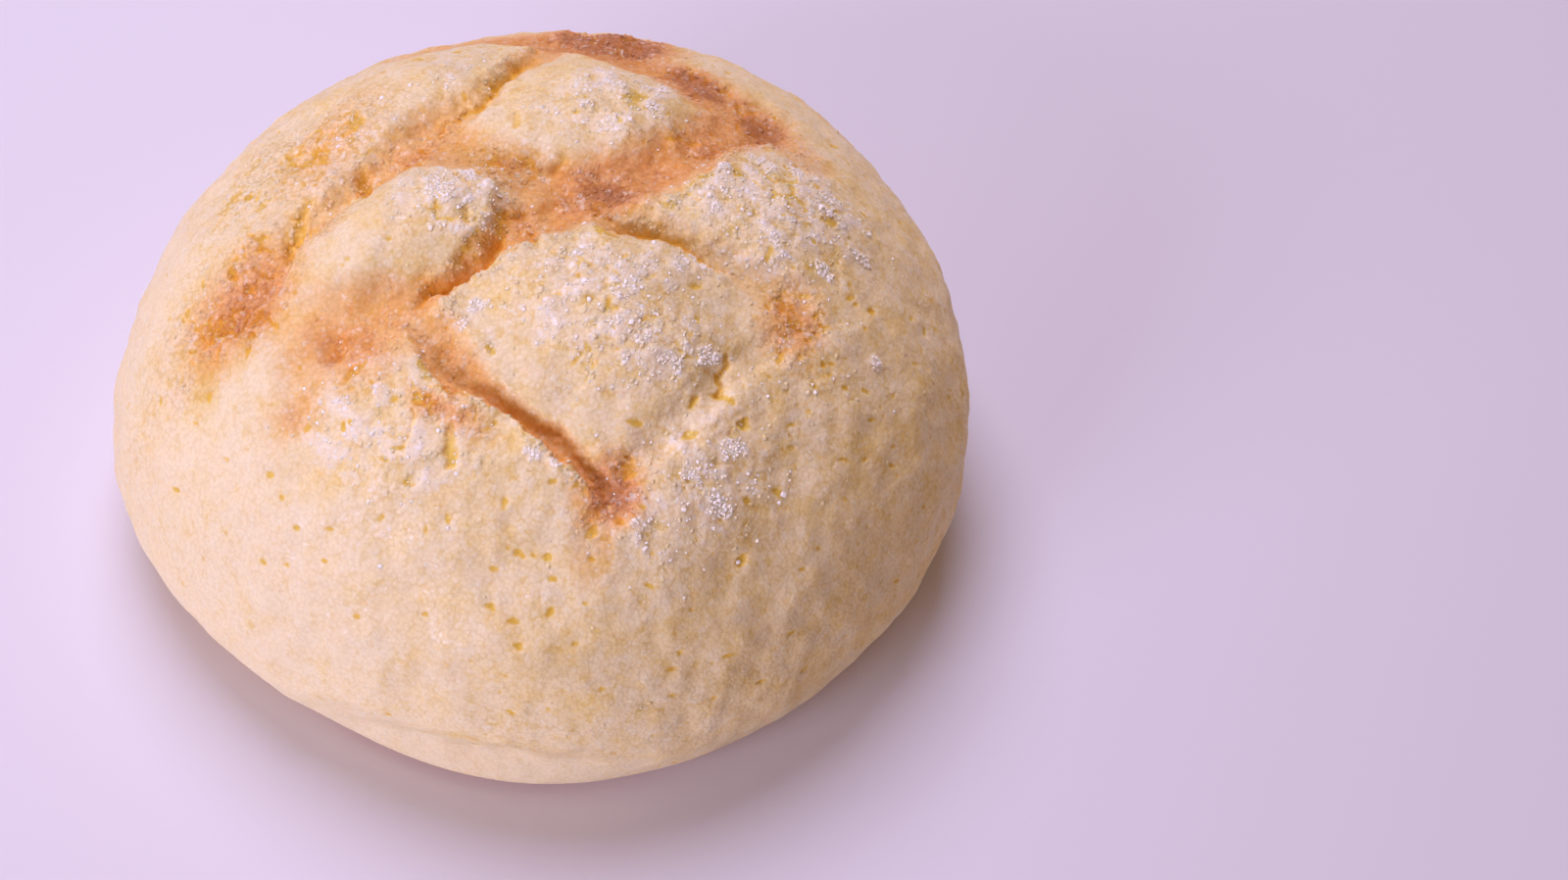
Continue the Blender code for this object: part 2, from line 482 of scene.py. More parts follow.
puff = np.max([rise * puffed(plan, *oval) for *oval, rise in TILES.values()], axis=0)
dent = np.max([depth * patch(plan, *oval) for *oval, depth in DENTS], axis=0)
print("deepest groove and highest tile in mm:", groove.max().round(1), puff.max().round(1))

# %% [markdown]
# ## Torn edges and cracks
#
# Biscuit dough is short, so it tears where the bread swells under it. In places a tile's crust ends
# in a ragged step above the groove, and at the foot of the tiles there are tears. A cutter would leave
# clean edges, so both are paths again, measured in a plan that finer noise has bent.

# %% Where the crust steps down
# (x, y, rise) along each step, in mm in plan: the crust to the left of the way along is higher
EDGES = (
    (
        (30, 23, 0), (27, 22, 0.5), (23, 21, 0.9), (19, 17, 1.0), (17, 11, 0.9), (12.5, 4, 0.9),
        (11, 0, 0),
    ),
    (
        (-15, -16.5, 0), (-13, -15, 0.5), (-9.5, -10.5, 0.8), (-7.5, -6, 0.9), (-7, -1, 0.8),
        (-8.5, 3, 0.5), (-12, 5, 0),
    ),
    (
        (4, -2, 0), (-2, -6, 0.5), (-5.5, -10.5, 0.7), (-10, -14, 0.9), (-10, -17, 0.7), (-5, -21, 0.3),
        (0, -25, 0),
    ),
    ((24, -6, 0), (21, -5.5, 0.4), (14, -2.8, 0.7), (9, -2.4, 0.8), (5, -3, 0.5), (2, -4, 0)),
    ((2, -2, 0), (4.5, -1, 0.5), (8, -0.4, 0.9), (11, -0.8, 0.7), (15, 0, 0)),
    ((-21, 5, 0), (-16.5, 13, 0.5), (-13.5, 20, 0.6), (-11.5, 28, 0.6), (-8.5, 35, 0)),
    (
        (12.5, -35.3, 0), (8.6, -33.6, 0.7), (5.5, -32.1, 1.0), (0, -29.3, 1.1), (-5, -27.7, 1.3),
        (-9.5, -25.6, 1.1), (-12, -21, 0),
    ),
)
STEP_REACH = 3.2  # mm over which a step falls away behind its edge
STEP_FACE = (-0.45, 0.55)  # mm from the edge, between which a step rises
CRUMBLY_BAND = 1.5  # mm
print("steps:", len(EDGES))

# %% Where it is torn
# (x, y, half width, depth) along each tear, in mm in plan
TEARS = (
    (
        (-9.5, 31, 0.4, 0.6), (-11, 28, 0.7, 1.0), (-12, 24, 0.8, 1.1), (-15, 17.5, 0.6, 1.0),
        (-18, 12, 0.4, 0.6),
    ),
    ((-26.1, 4.6, 0.7, 0.6), (-25.4, 2.5, 1.2, 1.1), (-23.8, -0.4, 1.1, 1.2), (-22.7, -2.9, 0.6, 0.8)),
    ((-31.8, -1.5, 0.6, 0.6), (-32, -5, 1.0, 0.9), (-32.2, -7.5, 1.1, 0.9), (-30.8, -12, 0.8, 0.5)),
    (
        (-4, -2, 0.5, 0.5), (-6, -3, 0.8, 0.9), (-6.3, -7, 1.2, 1.3), (-7.0, -10.5, 1.4, 1.4),
        (-9, -12.5, 1.1, 1.2),
    ),
    ((-9, -12.5, 1.1, 1.2), (-12, -14, 0.8, 0.9), (-13.5, -16.5, 0.6, 0.7)),
    ((-3, -4, 0.5, 0.6), (-1.8, -6.5, 0.9, 1.1), (-1, -8, 0.4, 0.5)),
    (
        (5, -2.2, 0.3, 0.6), (8, -1.4, 0.6, 0.9), (12, -1.6, 0.7, 1.0), (15, -1.0, 0.6, 0.8),
        (18, -2.8, 0.5, 0.8),
    ),
    ((18, -2.8, 0.5, 0.8), (21, -4, 0.4, 0.6)),
    ((22.9, -15.4, 0.5, 0.6), (23, -17.8, 0.6, 0.8), (23.2, -20.3, 0.5, 0.6)),
    ((-6.3, -31.5, 0.4, 0.5), (-6, -33.5, 0.7, 0.7), (-5, -35, 1.0, 0.8)),
    ((-10.8, -30, 0.3, 0.4), (-10.5, -32.5, 0.3, 0.4), (-11.4, -34, 0.3, 0.4)),
    ((-9, 14.5, 0.5, 0.5), (-8, 12.5, 0.7, 0.6)),
    ((-1, 8.5, 0.4, 0.5), (-2, 6, 0.6, 0.6)),
    ((-12.5, 0.8, 0.5, 0.8), (-11.5, -0.8, 0.3, 0.5)),
    ((-10.8, -4.5, 0.5, 0.6), (-10, -5.5, 0.4, 0.5)),
    ((-9.5, -8, 0.5, 0.6), (-9.3, -10, 0.4, 0.5)),
)
TEAR_SIDE = (0.3, 1.25)  # times the half width, between which a tear's side rises
print("tears:", len(TEARS))

# %% Steps and tears
step = np.zeros(len(plan))
crumbly = np.zeros(len(plan))
for path in EDGES:
    nearest_yet = np.full(len(plan), np.inf)
    rise_here = np.zeros(len(plan))
    for distance, left_of_it, values in along(path, torn_plan):
        rise = values[:, 0]
        inside = ramp(distance * left_of_it, *STEP_FACE)
        risen = rise * inside * np.exp(-distance / STEP_REACH)
        rise_here = np.where(distance < nearest_yet, risen, rise_here)
        nearest_yet = np.minimum(nearest_yet, distance)
        brink = np.clip(rise, 0, 1) * inside * hump(distance - 0.5, CRUMBLY_BAND)
        crumbly = np.maximum(crumbly, brink)
    step += rise_here

tear = np.zeros(len(plan))
for path in TEARS:
    for distance, _, values in along(path, ragged_plan):
        width, depth = values.T
        tear = np.maximum(tear, depth * (1 - ramp(distance / width, *TEAR_SIDE)))
print("steps up to", round(float(step.max()), 1), "mm and tears down to", round(float(tear.max()), 1), "mm")

# %% [markdown]
# ## Pores
#
# Steam has left pits all over the crust. The largest are set where this bun has them, and small ones are
# strewn between, with few on the smooth left flank. Each pit is sunk into the points near it, which a k-d
# tree finds at once. Noise bends its edge, so that no two look punched with one tool. The pits are shallow:
# what shows of one is mostly the shade that its finish paints into it, as a darker golden tint.

# %% Where the largest pores are
# (x, y, half width, half length, turn in degrees) of the largest pits, in mm in plan
PITS = (
    # the front
    (-3.7, -22.1, 0.5, 0.9, 120), (20.4, -22.5, 0.5, 1.1, 80), (26.5, -23.1, 0.8, 0.9, 60),
    (23.2, -20.8, 0.5, 1, 0), (32.6, -23, 0.4, 0.5, 0), (20.7, -26.6, 0.6, 1, 30),
    (14.1, -27.3, 0.5, 1.2, 0), (32, -28.3, 0.5, 1.1, -20), (-10.5, -28.8, 0.7, 1, -60),
    (-13.2, -28.8, 0.4, 0.5, 0), (1.8, -29.6, 0.4, 0.9, -10), (-1.4, -30.5, 0.4, 0.5, 0),
    (28.2, -30.7, 0.5, 0.6, 0), (37.5, -30.7, 0.35, 0.5, 0), (36.4, -33.2, 0.4, 0.5, 0),
    (-11.4, -34.1, 0.3, 1.1, 15), (-26.4, -36, 0.4, 0.6, 0), (-22.9, -31.8, 0.4, 0.7, 40),
    (-12.5, -35.3, 0.35, 0.8, 0), (10.2, -35.5, 0.3, 0.9, 90), (13, -36.5, 0.5, 0.6, 60),
    (14.5, -37.4, 0.5, 0.6, 0), (1.6, -38.3, 0.35, 0.8, 90), (12, -39.2, 0.6, 1, 70),
    (29.3, -36, 0.6, 1, 80), (36.2, -38.1, 0.35, 0.8, 55), (-24.6, -38.2, 0.4, 0.4, 0),
    (-12.1, -40.6, 0.35, 0.6, 60), (-4.4, -40.4, 0.4, 0.6, 90), (-6.6, -41.6, 0.3, 0.7, 90),
    (-17.9, -41.4, 0.3, 0.9, 0), (-22, -41, 0.35, 0.5, 0), (-25.7, -43, 0.5, 0.6, 0),
    (-22.7, -43.7, 0.35, 0.4, 0), (-18, -43.9, 0.4, 0.45, 0), (3.9, -42.6, 0.6, 0.7, 0),
    (5.7, -42.5, 0.3, 0.4, 0), (7.4, -42.4, 0.5, 0.6, 0), (1.5, -44.3, 0.4, 0.6, 0),
    (8.5, -44.1, 0.4, 0.6, 0), (12.3, -41.6, 0.35, 0.5, 0), (1.9, -47.3, 0.5, 0.8, 0),
    (4.6, -48.1, 0.5, 0.8, 0), (8.7, -46.8, 0.5, 0.8, 80), (12, -48.4, 0.35, 0.6, 20),
    (5.7, -49.6, 0.5, 0.7, 0), (-13.4, -48.2, 0.4, 0.6, 0), (-5.4, -48.3, 0.4, 0.5, 0),
    (23.2, -47, 0.3, 0.9, 30), (29.3, -43.4, 0.35, 0.8, 35), (33.6, -42.4, 0.3, 0.9, 35),
    # the left
    (-33.2, 11.8, 0.5, 0.9, 110), (-28.6, 12.7, 0.45, 0.6, 0), (-31.5, 6.4, 0.45, 1, 115),
    (-32.5, 8.9, 0.2, 1, 100), (-39.3, 1, 0.6, 0.7, 0), (-30.7, 1.2, 0.35, 0.4, 0),
    (-37.7, -11.4, 0.7, 1, 100), (-35.9, -13.6, 0.6, 0.8, 0), (-34, -11.8, 0.4, 1.2, -10),
    (-41.6, -11.6, 0.4, 0.8, 110), (-42.4, -15.4, 0.5, 1, 110), (-37.9, -18, 0.7, 1.5, 70),
    (-32.7, -17.4, 0.45, 1, -30), (-34.5, -17.5, 0.4, 0.6, 0), (-36.8, -16.2, 0.4, 0.6, 0),
    (-30.6, -19.5, 0.4, 1, -20), (-40.8, -20.5, 0.5, 0.7, 0), (-32.6, -22.5, 0.5, 0.8, 90),
    (-43.2, -24.8, 0.35, 0.8, 100), (-37, -26.8, 0.45, 1, 80), (-38.1, -28.9, 0.3, 0.6, 0),
    (-18.4, -26.4, 0.35, 0.8, 30), (-38.8, -34.5, 0.35, 0.8, 0), (-32.5, -33.6, 0.35, 0.5, 0),
    # the right
    (13.6, 17.5, 0.6, 0.9, 20), (10.7, 15.9, 0.4, 0.9, 20), (7.7, 13.9, 0.4, 0.6, 80),
    (26.1, 11.6, 0.3, 0.9, 110), (32.5, 14.1, 0.35, 0.6, 0), (36, 14.1, 0.3, 0.7, -30),
    (28.6, 8.2, 0.3, 0.5, 60), (32.3, 8.6, 0.45, 0.8, 0), (26.1, 5.5, 0.3, 0.4, 90),
    (29.3, 6.2, 0.4, 0.5, 0), (33.9, 2.9, 0.25, 0.6, 80), (31.2, 0.5, 0.35, 1, 70),
    (25.5, -0.7, 0.4, 1.1, 85), (35.7, 0.7, 0.3, 0.6, 90), (37.1, -1.3, 0.35, 0.4, 0),
    (39.1, -1, 0.5, 0.8, 40), (44.6, 2.5, 0.3, 0.6, 60), (46.7, 2.5, 0.4, 0.9, 90),
    (17.7, -8.4, 0.5, 0.8, 20), (13.4, -6.6, 0.25, 0.4, 60), (7.3, -9.8, 0.25, 1, 90),
    (18.7, -13, 0.45, 0.7, 90), (24.3, -21, 0.45, 0.9, -20), (32.1, -20.5, 0.3, 0.7, 30),
    (33.7, -18, 0.3, 0.5, 60), (30.7, -16.8, 0.3, 0.35, 0), (29.6, -10.2, 0.4, 0.9, 0),
    (29.3, -13.2, 0.4, 1.2, 85), (41.4, -14.5, 0.3, 0.7, 30), (45, -17.4, 0.35, 0.5, 0),
    (39.1, -20.7, 0.3, 0.8, 5), (32.5, -23, 0.3, 0.5, 0), (6.2, -22, 0.3, 1.4, 65),
    (30.7, -3.6, 0.45, 1.1, 20), (33.7, -6.8, 0.4, 0.6, 0),
)
print("large pits:", len(PITS))

# %% Sink a pit
SMALL_PITS = 680
SMALL_PIT_SIZE = (0.18, 0.4)  # mm
PIT_DEPTH = 0.4  # times the half width
PIT_SIDE = (0.5, 1.15)  # times the half width, between which a pit's side rises
PIT_BEND = 0.45
MOST_STRETCH = 2.4
by_place = kdtree.KDTree(len(body))
for index, place in enumerate(body):
    by_place.insert(place, index)
by_place.balance()
bend = rough_clouds(body, 0.9 * MM, 71, 2)
pit = np.zeros(len(body))
mm_plan = body[:, :2] / MM
facing_down = 1e3 * (normal[:, 2] < 0)


def sink(index, half_width, half_length, lie):
    """Press one pit into the points near a point of the body, long in the direction `lie`."""
    lie = Vector(lie) - Vector(normal[index]) * Vector(lie).dot(Vector(normal[index]))
    place = Vector(body[index])
    near = [found[1] for found in by_place.find_range(place, half_length * 1.6 * MM)]
    off = body[near] - place
    lengthways = off @ lie.normalized()
    across = np.sqrt(np.clip((off**2).sum(1) - lengthways**2, 0, None))
    reach = np.hypot(lengthways / half_length, across / half_width) / MM + PIT_BEND * bend[near]
    pit[near] = np.maximum(pit[near], PIT_DEPTH * half_width * (1 - ramp(reach, *PIT_SIDE)))


for x, y, half_width, half_length, turn in PITS:
    index = np.argmin(((mm_plan - (x, y)) ** 2).sum(1) + facing_down)
    sink(index, half_width, half_length, (math.cos(math.radians(turn)), math.sin(math.radians(turn)), 0))
print("points in large pits:", int((pit > 0).sum()))

# %% Strew the small pores
rng = np.random.default_rng(7)
far_left = ramp(-mm_plan @ (0.8, 0.5), 16, 38)
few_left = 1 - 0.75 * far_left
few_hem = ramp(body[:, 2] / MM, 2.5, 7)
likely = few_left * few_hem * (0.25 + ramp(clouds(body, 9 * MM, 61), -0.4, 0.5))
chosen = rng.choice(len(body), SMALL_PITS, replace=False, p=likely / likely.sum())
for index in chosen:
    small, large = SMALL_PIT_SIZE
    half_width = small + (large - small) * rng.random() ** 2
    sink(index, half_width, half_width * (1 + (MOST_STRETCH - 1) * rng.random() ** 2), rng.normal(size=3))
print("pits:", len(PITS) + SMALL_PITS, "deepest in mm:", round(float(pit.max()), 2))

# %% [markdown]
# ## Browning and crumb
#
# The crumb between the tiles is browned in patches. Where the crust is browned, torn or sugared it is
# coarse and crumbly, and towards the rim it stays nearly smooth, so the crumb's height follows a map
# of how rough each place is. A curd is a rounded lump: its height falls with the distance to the
# nearest of many random centres. Short cracks open where two such centres are equally near.

# %% Where it is browned
# (x, y, half length, half width, turn in degrees, browning, roughness), in mm in plan
STAINS = (
    (-1, 40, 14, 6, -8, 1.3, 0.8),
    (12, 31, 9, 5, -35, 1.1, 0.8),
    (21, 26, 8, 6, -30, 1.05, 0.8),
    (16, 17, 7, 6, 50, 0.8, 0.7),
    (5, 4, 9, 6, 15, 1.0, 0.9),
    (-20, 8, 8, 6, 45, 0.6, 0.7),
    (-8, 6, 9, 4, -15, 0.5, 0.7),
    (-4, -3, 4, 5, 60, 0.55, 0.8),
    # This oval is real browning, made darker to paint in the shade of the valley on the left.
    (-35, -15.5, 14, 9, 65, 0.72, 1.0),
    (-37, -15, 19, 10, 65, 0.12, 0.85),
    # Painted shade: these two ovals darken the upper left flank with browning and roughness. The first is
    # partly real tan browning too.
    (-31, 8, 15, 8, 75, 0.26, 0.9),
    (-38, 5, 16, 9, 70, 0.05, 0.85),
    (-28, -6, 6, 5, 50, 0.4, 0.8),
    (-25, 3, 6, 3, 55, 0.35, 0.8),
    (-21, -22, 12, 8.5, -5, 0.58, 0.3),
    (-21.7, -24, 3, 1.6, -60, 0.9, 0.25),
    (-7, -30, 8, 2.7, -22, 0.52, 0.9),
    (-16, -18.5, 9, 6, 0, 0.34, 0.3),
    (-8.5, -22.5, 7, 3, -45, 0.52, 0.5),
    (13, -35, 7, 5.5, 60, 0.95, 0.6),
    (-25, -30, 5, 5, 60, 0.4, 0.3),
    (30, -8, 8, 6, 90, 0.5, 0.6),
)
print("browned patches:", len(STAINS))

# %% Where it is sugared
# (x, y, half length, half width, turn in degrees, amount), in mm in plan
SUGARED = (
    (10, -14, 20, 14, -35, 1.0),
    (3, 20, 15, 11, 25, 0.8),
    (-12, -2, 11, 9, 43, 1.0),
    (25, 7, 18, 17, 30, 0.9),
    (34, -12, 17, 12, 80, 0.25),
    (22, -31, 18, 12, 45, 0.55),
    (-14, -32, 19, 12, -35, 0.6),
    (-19, 23, 12, 7, 60, 0.35),
    (-30, 4, 10, 7, 60, 0.3),
)
# (x, y, size) of the thickest clusters of sugar, in mm in plan
CLUSTERS = (
    (18.2, 10.9, 1.2), (15.4, 12.5, 0.8), (22.1, 14.3, 1.2), (26.4, 15.7, 1.3), (30.9, 11.6, 1.1),
    (31, 9.6, 1.1), (36.6, 6.6, 1.3), (32.5, 0.5, 1.4), (25.7, 1.4, 1.0), (18.2, -4.3, 1.1),
    (15.9, -6, 1.2), (20.7, -17.1, 1.4), (16.8, -19.8, 1.5), (13.2, -18.2, 1.0), (41, -7.5, 1.0),
    (17.9, 4.3, 0.9), (25.7, -26.4, 1.8), (23.2, -29.5, 1.0), (24.8, -32.5, 1.7), (21.4, -31, 1.1),
    (3.7, -33.4, 1.1), (6.6, -33.6, 0.9), (16.8, -37.1, 1.1), (17.5, -38.8, 0.9), (-8, -19, 1.1),
    (-6, -16.5, 1.0), (-14, -3, 1.6), (-11, 1, 1.2), (3, 16, 1.2), (8, 20, 1.4), (9, 24, 1.0),
)
print("sugared areas:", len(SUGARED), "and thick clusters:", len(CLUSTERS))

# %% Maps of the crust
BROWNED_GROOVE = 0.8  # browning of a groove's floor beside the table's numbers
on_dome = ramp(body[:, 2], WIDEST_LEVEL, WIDEST_LEVEL + 8 * MM)
stains = [(patch(ragged_plan, *oval), browning, roughness) for *oval, browning, roughness in STAINS]
stained = np.max([browning * there for there, browning, _ in stains], axis=0)
crumbled = np.max([roughness * there for there, _, roughness in stains], axis=0)
mottle = rough_clouds(body, 2.6 * MM, 81)
brown = np.clip(np.maximum(stained, BROWNED_GROOVE * browned) * on_dome * (1 + 0.2 * mottle), 0, 1)

sugared = np.max([amount * patch(plan, *oval) for *oval, amount in SUGARED], axis=0)
thickest = np.max([patch(torn_plan, x, y, size * 1.3, size, 0) for x, y, size in CLUSTERS], axis=0)
clusters = ramp(rough_clouds(body, 3.2 * MM, 85, 4) + 0.5 * sugared, 0.15, 0.6)
widely = clusters * ramp(sugared, 0.02, 0.5)
sweet = np.maximum(widely, ramp(thickest, 0.0, 0.3)) * on_dome * (1 - 0.8 * brown)
thinly = 0.15 * sugared * (0.3 + clusters)
sprinkled = np.maximum(thinly, ramp(thickest, 0.05, 0.5)) * on_dome * (1 - 0.7 * brown)

knobbly = 0.32 - 0.2 * far_left + 0.5 * sugared + crumbled + 0.5 * crumbly
rough = np.clip(knobbly + 0.15 * mottle, 0, 1) * ramp(body[:, 2] / MM, 3, 14)
print("share of the crust that is browned:", round(float((brown > 0.3).mean()), 2))

# %% Curds and short cracks
CURDS = 6000
CURD_REACH = 1.1  # mm
CELLS = 1500
CRACK_WIDTH = 0.8  # mm
CRACK_DEPTH = 0.2  # mm


def bend_of(seed):
    """Noise of two sizes, which bends the curds' outlines."""
    return clouds(body, 1.6 * MM, seed) + 1.3 * clouds(body, 3.5 * MM, seed + 5)


bent_body = body + np.stack([bend_of(seed) for seed in (101, 102, 103)], 1) * 0.5 * MM


def nearest_centres(count, likely, seed):
    """Each place's distances in mm to the two nearest of many random centres, and the nearest's number."""
    dice = np.random.default_rng(seed)
    centres = dice.choice(len(body), count, replace=False, p=likely / likely.sum())
    near = kdtree.KDTree(count)
    for number, index in enumerate(centres):
        near.insert(bent_body[index], number)
    near.balance()
    first = np.full(len(body), 1e3)
    second = np.full(len(body), 2e3)
    which = np.zeros(len(body), int)
    for index in np.flatnonzero(likely > 0.05):
        closest, next_one = near.find_n(bent_body[index], 2)
        first[index] = closest[2] / MM
        second[index] = next_one[2] / MM
        which[index] = closest[1]
    return first, second, which


first, _, which = nearest_centres(CURDS, rough, 8)
tall = np.random.default_rng(18).uniform(0.35, 1, CURDS)
curd = tall[which] * np.clip(1 - (first / CURD_REACH) ** 2, 0, 1)
first, second, _ = nearest_centres(CELLS, rough, 9)
opened = ramp(rough_clouds(body, 5 * MM, 111), 0, 0.45) * ramp(rough, 0.5, 0.75)
crack_width = CRACK_WIDTH * np.maximum(opened, 0.01)
crack = (1 - ramp((second - first) / crack_width, 0.3, 1)) * ramp(opened, 0.05, 0.4)
print("share of the crust that is cracked:", round(float((crack > 0.3).mean()), 3))

# %% The whole relief
lumps = 0.4 * clouds(body, 9 * MM, 91) + 0.3 * clouds(body, 4 * MM, 92)
crumb = rough * (0.32 * curd + 0.13 * clouds(body, 2.2 * MM, 95)) + 0.15 * sweet
sunk = (groove + 0.75 * tear + dent) * on_dome + np.maximum(pit, CRACK_DEPTH * crack)
relief = (puff + step) * on_dome + lumps * ramp(body[:, 2] / MM, 1, 8) + crumb - sunk
# Painted shade: the dips between the curds and the floors of grooves and dents are marked here, for the
# finish to darken them to gold where shade falls.
curd_dip_shade = rough * np.clip(0.8 - 1.3 * curd, 0, 1)
shaded = np.maximum(0.35 * ramp(groove, 0.3, 1.4), 0.6 * ramp(dent, 0.4, 1.1)) * on_dome
print("relief in mm from", round(float(relief.min()), 1), "to", round(float(relief.max()), 1))

# %% [markdown]
# ## One mesh for the crust
#
# The relief moves each point along the smooth body's normal. That leaves some 790 000 triangles, most
# of them on smooth dough, so a Decimate modifier joins those where the surface is nearly flat and
# keeps the pits and tears sharp. The numbers that the material reads ride along on the points.


# %% Press the relief in
def keep(mesh, name, values):
    """A number for each point of the mesh, for a material or a modifier to read."""
    mesh.attributes.new(name, "FLOAT", "POINT").data.foreach_set("value", values.astype(np.float32))


net.vertices.foreach_set("co", (body + normal * (relief * MM)[:, None]).astype(np.float32).ravel())
net.update()
foot = ramp(-normal[:, 2], 0.3, 0.9) * ramp(-body[:, 2] / MM, -3, 0)
keep(net, "brown", np.maximum(brown, 0.75 * foot * (1 + 0.3 * mottle)))
# Painted shade: this number darkens the colour to gold in pits, tears, cracks, the dips between curds, and
# grooves and dents. It stands for their shade and for the light bounced from their walls.
hollow_shades = (pit / 0.12, 1.3 * tear * on_dome, crack, 0.5 * curd_dip_shade, shaded)
keep(net, "hollow_shade", np.clip(np.max(hollow_shades, axis=0), 0, 1))
keep(net, "sweet", sweet)
keep(net, "sprinkled", sprinkled)
keep(net, "rough", rough)
keep(net, "crumbly", np.clip(0.7 * crumbly + 0.5 * ramp(rough, 0.3, 0.8), 0, 1) * on_dome)
print("numbers on each point:", [kept.name for kept in net.attributes if kept.data_type == "FLOAT"])

# %% Thin the mesh
CRUST_TRIANGLES = 196_000


def thinned(mesh, most):
    """The mesh with its flat stretches in fewer triangles."""
    whole = bpy.data.objects.new("whole", mesh)
    bpy.context.scene.collection.objects.link(whole)
    triangles = sum(len(face.vertices) - 2 for face in mesh.polygons)
    if triangles > most:
        thin = whole.modifiers.new("thin", "DECIMATE")
        thin.ratio = most / triangles
    result = bpy.data.meshes.new_from_object(whole.evaluated_get(bpy.context.evaluated_depsgraph_get()))
    bpy.data.objects.remove(whole, do_unlink=True)
    return result


def centre_on_cad(mesh):
    """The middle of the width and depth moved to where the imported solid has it."""
    places = places_of(mesh)
    middle = (places.min(0) + places.max(0)) / 2
    wanted = (bun_low + bun_high) / 2
    mesh.transform(Matrix.Translation((wanted.x - middle[0], wanted.y - middle[1], 0)))


def add_piece(name, mesh):
    piece = bpy.data.objects.new(name, mesh)
    bpy.context.scene.collection.objects.link(piece)
    return piece


crust_mesh = thinned(net, CRUST_TRIANGLES)
centre_on_cad(crust_mesh)
crust_mesh.shade_smooth()
crust = add_piece("crust", crust_mesh)
print("faces of the crust:", len(crust_mesh.polygons))

# %% [markdown]
# ## Tools for the finishes
#
# A finish is a sum of masks, so a material's sockets are wrapped in a small class that can be added
# and multiplied like numbers. One method adds every other node.


# %% Wires
class Wire:
    """An output in a material. Sums of wires and numbers add Math nodes behind it."""

    def __init__(self, paint, socket):
        self.paint = paint
        self.socket = socket

    def joined(self, operation, first, second):
        return self.paint.node("ShaderNodeMath", {"operation": operation}, {0: first, 1: second})

    def __add__(self, other):
        return self.joined("ADD", self, other)

    def __radd__(self, other):
        return self.joined("ADD", other, self)

    def __sub__(self, other):
        return self.joined("SUBTRACT", self, other)

    def __rsub__(self, other):
        return self.joined("SUBTRACT", other, self)

    def __mul__(self, other):
        return self.joined("MULTIPLY", self, other)

    def __rmul__(self, other):
        return self.joined("MULTIPLY", other, self)


print("signs that wires understand: + - *")

# %% Paint
COLOUR_MIX = {"factor": 0, "a": 6, "b": 7, "result": 2}  # the Mix node's sockets for colours


class Paint:
    """A material in the making."""

    def __init__(self, name):
        self.material = bpy.data.materials.new(name)
        self.material.use_nodes = True
        self.tree = self.material.node_tree
        self.shader = self.tree.nodes["Principled BSDF"]
        self.places = self.node("ShaderNodeTexCoord", output="Object")

    def put(self, socket, value):
        """A link where the value is a wire, and a constant where it isn't."""
        if isinstance(value, Wire):
            self.tree.links.new(value.socket, socket)
        else:
            socket.default_value = value

    def node(self, kind, settings=None, inputs=None, output=0):
        made = self.tree.nodes.new(kind)
        for name, value in (settings or {}).items():
            setattr(made, name, value)
        for name, value in (inputs or {}).items():
            self.put(made.inputs[name], value)
        return Wire(self, made.outputs[output])

    def noise(self, size, detail=2.0, output="Fac"):
        """Noise about 0.5, with lumps of that size in mm."""
        values = {"Vector": self.places, "Scale": 1 / (size * MM), "Detail": detail}
        return self.node("ShaderNodeTexNoise", {}, values, output)

    def cells(self, size):
        """The distance to the nearest of many centres that far apart in mm, and a number drawn for each."""
        bent = self.node(
            "ShaderNodeVectorMath",
            {"operation": "MULTIPLY_ADD"},
            {0: self.noise(size, 1, "Color"), 1: (0.8 * size * MM,) * 3, 2: self.places},
        )
        settings = {"Vector": bent, "Scale": 1 / (size * MM), "Detail": 0.0}
        centre = self.node("ShaderNodeTexVoronoi", {}, settings)
        return centre, Wire(self, centre.socket.node.outputs["Color"])

    def number(self, name):
        """The number of that name that each point of the mesh carries."""
        return self.node("ShaderNodeAttribute", {"attribute_name": name}, output="Fac")

    def between(self, value, low, high):
        """0 below low, 1 above high, and smooth between."""
        settings = {"interpolation_type": "SMOOTHSTEP"}
        return self.node("ShaderNodeMapRange", settings, {"Value": value, "From Min": low, "From Max": high})

    def mixed(self, factor, first, second, how="MIX"):
        settings = {"data_type": "RGBA", "blend_type": how}
        values = {COLOUR_MIX["factor"]: factor, COLOUR_MIX["a"]: first, COLOUR_MIX["b"]: second}
        return self.node("ShaderNodeMix", settings, values, COLOUR_MIX["result"])

    def shades(self, value, stops):
        """A colour ramp, from (position, colour) pairs."""
        made = self.node("ShaderNodeValToRGB", {}, {"Fac": value})
        shades = made.socket.node.color_ramp.elements
        for position, colour in stops[1:-1]:
            shades.new(position).color = (*colour, 1)
        for end in (0, -1):
            position, colour = stops[end]
            shades[end].position = position
            shades[end].color = (*colour, 1)
        return made

    def finish(self, **values):
        for name, value in values.items():
            self.put(self.shader.inputs[name.replace("_", " ")], value)
        print("finish:", self.material.name, "of", len(self.tree.nodes), "nodes")
        return self.material


print("shader sockets that vary over the crust: Base Color, Roughness, Coat Weight, Normal")
